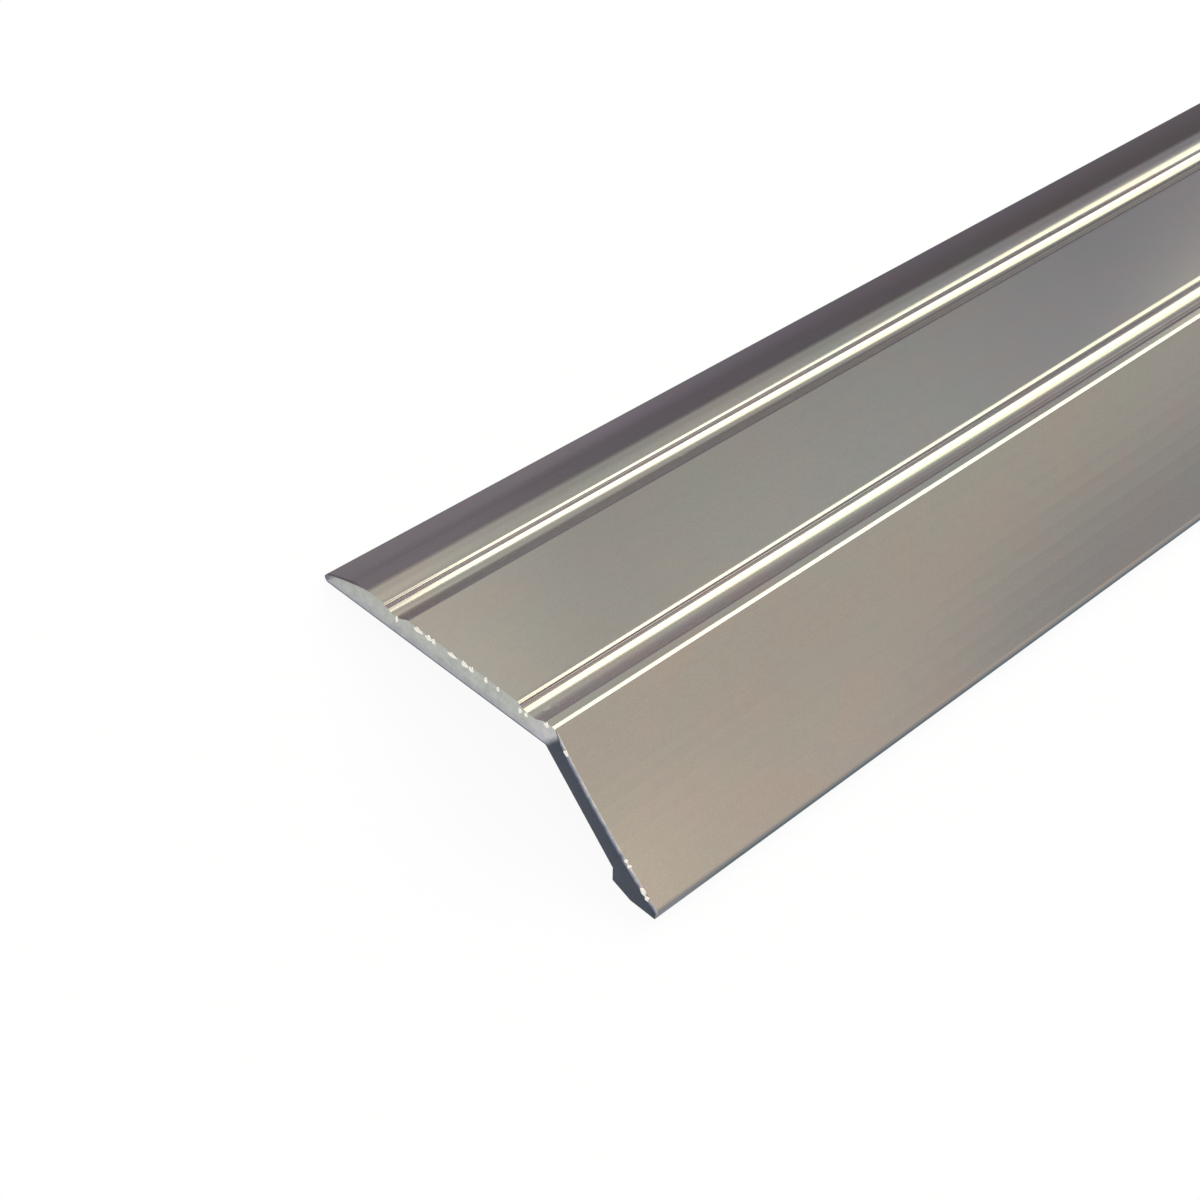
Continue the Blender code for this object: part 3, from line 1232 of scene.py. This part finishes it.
@dataclass(frozen=True)
class SawnFinish(MetalFinish):
    """The saw cut: chalky on the plate, with a painted highlight at the corner, painted shade toward its
    bottom, and a painted dark reflection on the flange.

    The painted dark reflection on the flange starts at a line through corner_start and corner_end.
    Values that end in window say where a shade begins and where it is full.
    """

    # painted reflection: the flange's part of the cut is dark
    flange_painted_shade: Colour = (0.080, 0.092, 0.120)
    flange_shade_window: Point = (-0.12, 0.78)
    flange_ragged: float = 0.5
    flange_shade: float = 0.8
    cloud_scale: float = 0.75
    cloud_shade: float = 0.88
    cloud_span: Point = (0.35, 0.62)
    # painted shade: the plate's cut face darkens toward the bottom
    shade_colour: Colour = (0.84, 0.83, 0.95)
    shade_window: Point = (1.9, 0.5)
    shade_ragged: float = 0.8
    # painted highlight on the cut face near the corner
    corner_painted_light: Colour = (1.20, 1.17, 1.25)
    corner_light_window: Point = (-2.6, 0.2)
    corner_start: Point = (-0.05, 0.17)
    corner_end: Point = (1.60, 2.05)
    outline_colour: Colour = (0.30, 0.34, 0.42)
    outline_window: Point = (0.20, 0.08)
    mark_scale: float = 1.4
    mark_stretch: Triple = (1.0, 1.2, 5.0)
    mark_colour: Colour = (0.93, 0.93, 0.94)
    mark_window: Point = (0.50, 0.62)
    mark_depth: float = 0.015
    grain_scale: float = 5.0
    grain_span: Point = (0.35, 0.65)
    grain_colour: Colour = (0.93, 0.93, 0.93)
    grain_window: Point = (0.45, 0.60)

    def past(self, nodes: Nodes, across: Socket, up: Socket) -> Socket:
        """Measure from the line where the flange starts.

        Args:
            nodes: The material's nodes.
            across: The place across the plate.
            up: The place above its underside.

        Returns:
            How far a place lies past the line, in millimetres.
        """
        run = (Vector(self.corner_end) - Vector(self.corner_start)).normalized()
        level = self.corner_start[0] * run.y - self.corner_start[1] * run.x
        sideways = nodes.math("MULTIPLY", across, run.y)
        upward = nodes.math("MULTIPLY", up, run.x)
        return nodes.math("SUBTRACT", nodes.math("SUBTRACT", sideways, upward), level)

    def dress_surface(self, nodes: Nodes, place: Socket, shader: bpy.types.Node) -> None:
        """Drive the shader's colour, roughness and relief.

        Args:
            nodes: The material's nodes.
            place: The place in plate millimetres.
            shader: The shader to drive.
        """
        _, across, up = nodes.split(place)
        marks = nodes.noise(place, self.mark_scale, 4.0, self.noise_roughness, self.mark_stretch)
        cloud = nodes.noise(place, self.cloud_scale, 3.0, self.noise_roughness)
        grain = nodes.noise(place, self.grain_scale, 2.0, self.noise_roughness)
        cloudy = shaded(self.colour, self.cloud_shade)
        plate = nodes.between(cloud, self.cloud_span, cloudy, self.colour)
        # painted shade toward the bottom of the plate's cut, raggedly
        height = nodes.math("MULTIPLY_ADD", cloud, self.shade_ragged, up)
        plate = nodes.tint(plate, self.shade_colour, nodes.window(height, *self.shade_window))
        # painted highlight on the cut face near the corner
        plate = nodes.tint(plate, self.corner_painted_light, nodes.window(across, *self.corner_light_window))
        plate = nodes.tint(plate, self.outline_colour, nodes.window(up, *self.outline_window))
        # painted dark reflection on the flange's part of the cut
        dark = shaded(self.flange_painted_shade, self.flange_shade)
        flange = nodes.between(grain, self.grain_span, dark, self.flange_painted_shade)
        ragged = nodes.math("MULTIPLY_ADD", cloud, self.flange_ragged, self.past(nodes, across, up))
        colour = nodes.blend("MIX", plate, flange, nodes.window(ragged, *self.flange_shade_window))
        colour = nodes.tint(colour, self.mark_colour, nodes.window(marks, *self.mark_window))
        colour = nodes.tint(colour, self.grain_colour, nodes.window(grain, *self.grain_window))
        nodes.feed(shader.inputs["Base Color"], colour)
        shader.inputs["Roughness"].default_value = self.roughness
        self.bump(nodes, marks, self.mark_depth, shader)


@dataclass(frozen=True)
class FiledFinish(MetalFinish):
    """The filed edge of the flange, coloured as a painted reflection: dark beside the cut, paler
    outward, to a painted highlight on its burred rim.
    """

    # painted reflection across the rounded filed edge, ending in a painted highlight on its rim
    cut_side_shade: Colour = (0.09, 0.10, 0.13)
    middle: Colour = (0.30, 0.31, 0.37)
    burr_highlight: Colour = (0.85, 0.80, 0.68)
    stop_places: tuple[float, ...] = (0.10, 0.45, 0.80, 0.98)
    uneven_scale: float = 1.3
    uneven: float = 0.9

    def dress_surface(self, nodes: Nodes, place: Socket, shader: bpy.types.Node) -> None:
        """Drive the shader's colour and roughness.

        Args:
            nodes: The material's nodes.
            place: The place in plate millimetres.
            shader: The shader to drive.
        """
        share = nodes.add("Attribute", attribute_name=FILED_SHARE).outputs["Fac"]
        noise = nodes.noise(place, self.uneven_scale, 3.0, self.noise_roughness)
        shift = nodes.math("MULTIPLY", nodes.math("SUBTRACT", noise, NOISE_MIDDLE), self.uneven)
        # painted reflection from dark beside the cut to a painted highlight on the rim
        colours = (self.cut_side_shade, self.middle, self.colour, self.burr_highlight)
        stops = tuple(zip(self.stop_places, colours))
        nodes.feed(shader.inputs["Base Color"], nodes.ramp(nodes.math("ADD", share, shift), stops))
        shader.inputs["Roughness"].default_value = self.roughness


@dataclass(frozen=True)
class Card:
    """A card that only the metal's reflections see.

    Its foot and its head are each shaded along the card, and the one eases into the other
    between ease_start and ease_end of its height. drop lowers the far end of its foot.
    """

    name: str
    corner: Vector
    along: Vector
    up: Vector
    foot: Stops
    head: Stops
    ease_start: float = 0.0
    ease_end: float = 1.0
    drop: Vector = field(default_factory=lambda: Vector((0.0, 0.0, 0.0)))

    def build(self) -> bpy.types.Object:
        """Make the card and hide it from all but reflections.

        Returns:
            The card.
        """
        mesh = bmesh.new()
        corners = (Vector((0, 0, 0)), self.along + self.drop, self.along + self.up, self.up)
        mesh.faces.new([mesh.verts.new(corner) for corner in corners])
        card = new_object(self.name, mesh)
        card.location = self.corner
        card.data.materials.append(self.material())
        for rays in ("camera", "diffuse", "shadow", "transmission", "volume_scatter"):
            setattr(card, "visible_" + rays, False)
        return card

    def share(self, nodes: Nodes, direction: Vector) -> Socket:
        """Measure along a direction of the card.

        Args:
            nodes: The card's nodes.
            direction: The direction, as long as the card is that way.

        Returns:
            How far along it a place lies, from 0 to 1.
        """
        dot = nodes.add("VectorMath", operation="DOT_PRODUCT")
        dot.inputs[1].default_value = direction / direction.length_squared
        nodes.feed(dot.inputs[0], nodes.add("TexCoord").outputs["Object"])
        return dot.outputs["Value"]

    def material(self) -> bpy.types.Material:
        """Make the card's glowing shade.

        Returns:
            The material.
        """
        material, nodes = new_material(self.name)
        length = self.share(nodes, self.along)
        height = nodes.window(self.share(nodes, self.up), self.ease_start, self.ease_end)
        shade = nodes.blend("MIX", nodes.ramp(length, self.foot), nodes.ramp(length, self.head), height)
        glow = nodes.add("Emission", Strength=1.0)
        nodes.feed(glow.inputs["Color"], shade)
        nodes.show(glow.outputs[0])
        material.cycles.emission_sampling = "NONE"
        return material


@dataclass
class Studio:
    """A white floor and surround, one long soft lamp overhead, and cards for the metal."""

    strip_near: float
    floor_size: float = 12.0
    floor_colour: Colour = (0.90, 0.90, 0.90)
    floor_white: float = 0.92
    white: Colour = (1.0, 1.0, 1.0)
    ambient: float = 0.85
    lamp_height: float = 1.20
    lamp_lean: float = 85.0
    lamp_width: float = 1.386
    lamp_length: float = 2.1
    lamp_start: float = 0.68
    lamp_radiance: float = 2.9
    lamp_colour: Colour = (1.0, 0.985, 0.81)
    skirt_distance: float = 0.70
    skirt_start: Point = (0.40, 0.3)
    skirt_middle: Point = (0.88, 16.0)
    skirt_end: Point = (1.40, 19.0)
    mask_shade: Colour = (0.62, 0.58, 0.66)
    mask_past_lamp: float = 4.0
    mask_start: Point = (0.42, 4.0)
    mask_end: Point = (0.90, 52.0)
    card_lead: float = 0.45
    card_lift: float = 0.0002
    short_card: float = 2.4
    long_card: float = 3.0

    def ray_mask(self, nodes: Nodes) -> Socket:
        """Find the rays that see the surround itself: camera, glossy and transmission.

        Args:
            nodes: The nodes of the floor or the world.

        Returns:
            1 for those rays and 0 for the others.
        """
        rays = nodes.add("LightPath").outputs
        either = nodes.math("MAXIMUM", rays["Is Camera Ray"], rays["Is Glossy Ray"])
        return nodes.math("MAXIMUM", either, rays["Is Transmission Ray"])

    def world(self) -> None:
        """Make the white surround."""
        world = bpy.data.worlds.new("studio_surround")
        world.use_nodes = True
        bpy.context.scene.world = world
        nodes = Nodes(world.node_tree)
        strength = nodes.add("MapRange", To_Min=self.ambient, To_Max=1.0)
        nodes.feed(strength.inputs["Value"], self.ray_mask(nodes))
        light = nodes.add("Background", Color=rgba(self.white))
        nodes.feed(light.inputs["Strength"], strength.outputs[0])
        nodes.show(light.outputs[0], "OutputWorld")

    def floor(self) -> bpy.types.Object:
        """Make the floor, white to the camera and still darkened by shadows.

        Returns:
            The floor.
        """
        mesh = bmesh.new()
        bmesh.ops.create_grid(mesh, x_segments=1, y_segments=1, size=self.floor_size / 2)
        floor = new_object("studio_floor", mesh)
        material, nodes = new_material("pale_floor")
        matt = nodes.add("BsdfDiffuse", Color=rgba(self.floor_colour))
        glow = nodes.add("Emission", Color=rgba(self.white), Strength=1.0)
        mix = nodes.add("MixShader")
        share = nodes.math("MULTIPLY", self.ray_mask(nodes), self.floor_white)
        for slot, value in enumerate((share, matt.outputs[0], glow.outputs[0])):
            nodes.feed(mix.inputs[slot], value)
        nodes.show(mix.outputs[0])
        floor.data.materials.append(material)
        return floor

    def lamp(self) -> bpy.types.Object:
        """Hang the long soft lamp over the strip, its length along it.

        Returns:
            The lamp.
        """
        light = bpy.data.lights.new("overhead_soft_lamp", "AREA")
        light.shape = "RECTANGLE"
        light.size = self.lamp_length
        light.size_y = self.lamp_width
        light.energy = self.lamp_radiance * self.lamp_width * self.lamp_length * math.pi
        light.color = self.lamp_colour
        lamp = bpy.data.objects.new("overhead_soft_lamp", light)
        lean = math.radians(self.lamp_lean)
        middle = self.strip_near + self.lamp_start + self.lamp_length / 2
        lamp.location = (middle, self.lamp_height * math.cos(lean), self.lamp_height * math.sin(lean))
        lamp.rotation_euler = (lean - math.pi / 2, 0.0, 0.0)
        bpy.context.scene.collection.objects.link(lamp)
        return lamp

    def card(self, name: str, side: float, height: float, length: float, up: Point, foot: Stops,
             head: Stops, ease: Point = (0.0, 1.0)) -> None:
        """Stand one card that runs along the strip.

        Args:
            name: The card's name.
            side: The y of its foot, where the nose's side is the positive one.
            height: The z of its foot.
            length: Its length, from card_lead before the near end.
            up: The y and z from its foot to its head.
            foot: The shades along its foot.
            head: The shades along its head.
            ease: Where between foot and head the one eases into the other.
        """
        corner = Vector((self.strip_near - self.card_lead, side, height))
        Card(name, corner, Vector((length, 0.0, 0.0)), Vector((0.0, *up)), foot, head, *ease).build()

    def cards(self) -> None:
        """Stand the cards that shade the metal's reflections, and hang the lamp's edges."""
        dusk = (0.40, 0.36, 0.44)
        haze = (0.64, 0.63, 0.74)
        self.card(
            "nose_side_card", side=0.60, height=0.0, length=self.short_card, up=(0.0, 0.857),
            foot=((0.328, dusk), (0.35, (0.32, 0.28, 0.35)), (0.39, (0.255, 0.225, 0.285)),
                  (0.45, (0.215, 0.19, 0.23)), (0.506, (0.19, 0.165, 0.19))),
            head=((0.343, (1.20, 1.15, 1.10)), (0.38, (0.82, 0.82, 0.83)), (0.425, (0.84, 0.82, 0.83)),
                  (0.496, (0.70, 0.72, 0.78)), (0.561, (0.54, 0.53, 0.65))),
            ease=(0.117, 0.54))
        self.card(
            "nose_floor_card", side=0.0212, height=self.card_lift, length=self.short_card,
            up=(0.5788, 0.0), foot=((0.187, dusk), (0.1885, (0.20, 0.21, 0.23))),
            head=((0.201, dusk), (0.208, (0.32, 0.28, 0.355)), (0.219, (0.25, 0.22, 0.28)),
                  (0.238, (0.22, 0.195, 0.24)), (0.252, (0.205, 0.18, 0.21))),
            ease=(0.001, 0.006))
        self.card(
            "ramp_side_card", side=-0.95, height=0.35, length=self.long_card, up=(0.35, 1.1),
            foot=((0.37, (1.02, 0.92, 0.87)), (0.42, (0.93, 0.85, 0.82)), (0.56, (0.84, 0.79, 0.77)),
                  (0.65, (0.76, 0.73, 0.75))),
            head=((0.37, (1.44, 1.18, 1.08)), (0.42, (1.05, 0.93, 0.87)), (0.48, (0.98, 0.88, 0.86)),
                  (0.57, (0.56, 0.54, 0.60))),
            ease=(0.40, 0.66))
        self.card(
            "ramp_low_card", side=-0.96, height=0.0, length=self.long_card, up=(0.0, 0.35),
            foot=((0.3, (0.66, 0.64, 0.73)),), head=((0.3, (0.80, 0.74, 0.76)),))
        self.card(
            "ramp_floor_card", side=-0.96, height=self.card_lift, length=self.short_card,
            up=(0.9388, 0.0), foot=((0.3, haze), (0.6, (0.50, 0.50, 0.60))),
            head=((0.187, haze), (0.1885, (0.20, 0.27, 0.31))), ease=(0.9965, 0.9997))
        half = math.degrees(math.atan(self.lamp_width / 2 / self.lamp_height))
        glow = shaded(self.lamp_colour, self.lamp_radiance)
        low = self.lamp_lean - half
        high = self.lamp_lean + half + self.mask_past_lamp
        self.lamp_edge("lamp_skirt_middle", low, self.skirt_start, self.skirt_middle, glow)
        self.lamp_edge("lamp_skirt_far", low, self.skirt_middle, self.skirt_end, glow)
        self.lamp_edge("lamp_mask", high, self.mask_start, self.mask_end, self.mask_shade)

    def lamp_edge(self, name: str, angle: float, start: Point, end: Point, shade: Colour) -> None:
        """Hang a card along one edge of the lamp, to carry its light or its end further down.

        Args:
            name: The card's name.
            angle: The angle of the card's upper edge over the floor.
            start: Metres from the near end, and degrees that the card hangs down there.
            end: The same, where the card ends.
            shade: The card's glow.
        """
        radius = self.skirt_distance

        def at(place: float, fall: float) -> Vector:
            """Return the point on the card's lower edge."""
            turn = math.radians(angle - fall)
            return Vector((self.strip_near + place, radius * math.cos(turn), radius * math.sin(turn)))

        corner = at(*start)
        along = Vector((end[0] - start[0], 0.0, 0.0))
        even = ((0.0, shade),)
        Card(name, corner, along, at(start[0], 0.0) - corner, even, even,
             drop=at(*end) - corner - along).build()

    def build(self) -> None:
        """Make the whole studio."""
        self.world()
        self.floor()
        self.lamp()
        self.cards()
        bpy.context.scene.view_settings.view_transform = "Standard"


@dataclass(frozen=True)
class PhotoCamera:
    """The photograph's camera, close over the near end. Its angles are in degrees."""

    place: Triple = (-0.530516, -0.062825, 0.141671)
    heading: float = 55.552
    pitch: float = 49.447
    roll: float = 16.870
    lens: float = 61.5
    sensor: float = 36.0
    shift: float = 0.00042
    clip_start: float = 0.01
    clip_end: float = 100.0

    def build(self) -> bpy.types.Object:
        """Make the camera and make it the scene's own.

        Returns:
            The camera.
        """
        data = bpy.data.cameras.new("photo_camera")
        data.lens = self.lens
        data.sensor_width = self.sensor
        data.shift_x = -self.shift
        data.shift_y = self.shift
        data.clip_start = self.clip_start
        data.clip_end = self.clip_end
        camera = bpy.data.objects.new("photo_camera", data)
        turn = Matrix.Rotation(math.radians(-self.heading), 4, "Z")
        tilt = Matrix.Rotation(math.radians(90.0 - self.pitch), 4, "X")
        roll = Matrix.Rotation(math.radians(self.roll), 4, "Z")
        camera.matrix_world = Matrix.Translation(self.place) @ turn @ tilt @ roll
        bpy.context.scene.collection.objects.link(camera)
        bpy.context.scene.camera = camera
        return camera


def main() -> None:
    """Build the strip, its burrs, the studio and the camera."""
    logging.basicConfig(level=logging.INFO)
    ring, near, far = frame_ring(frame["nodes"][STRIP_NODE])
    axes = PlateAxes.from_ring(ring, near, far)
    outline = [axes.to_plate(point) for point in ring]
    if signed_area(outline) < 0.0:
        outline.reverse()
    log.info("plate leans %.3f degrees", math.degrees(axes.lean))

    section = Section(outline)
    walls = tuple(section.walls())
    satin = SatinFinish(name="satin_anodised", colour=(0.375, 0.365, 0.320), roughness=0.14, walls=walls)
    sawn = SawnFinish(name="saw_cut_face", colour=(0.56, 0.575, 0.53), roughness=0.50)
    filed = FiledFinish(name="filed_edge", colour=(0.50, 0.50, 0.52), roughness=0.45)
    torn = MetalFinish(name="torn_bright_metal", colour=(0.98, 0.96, 0.86), roughness=0.25)

    body = StripBody(axes, section)
    strip = body.build()
    body.dress(strip, [satin, sawn, filed])
    log.info("strip body: %d faces", len(strip.data.polygons))

    burrs = CutBurrs(axes)
    flecks = burrs.build()
    burrs.dress(flecks, torn)
    log.info("cut burrs: %d faces", len(flecks.data.polygons))

    Studio(strip_near=near).build()
    log.info("studio built")
    PhotoCamera().build()
    log.info("camera set")


if __name__ == "__main__":
    main()
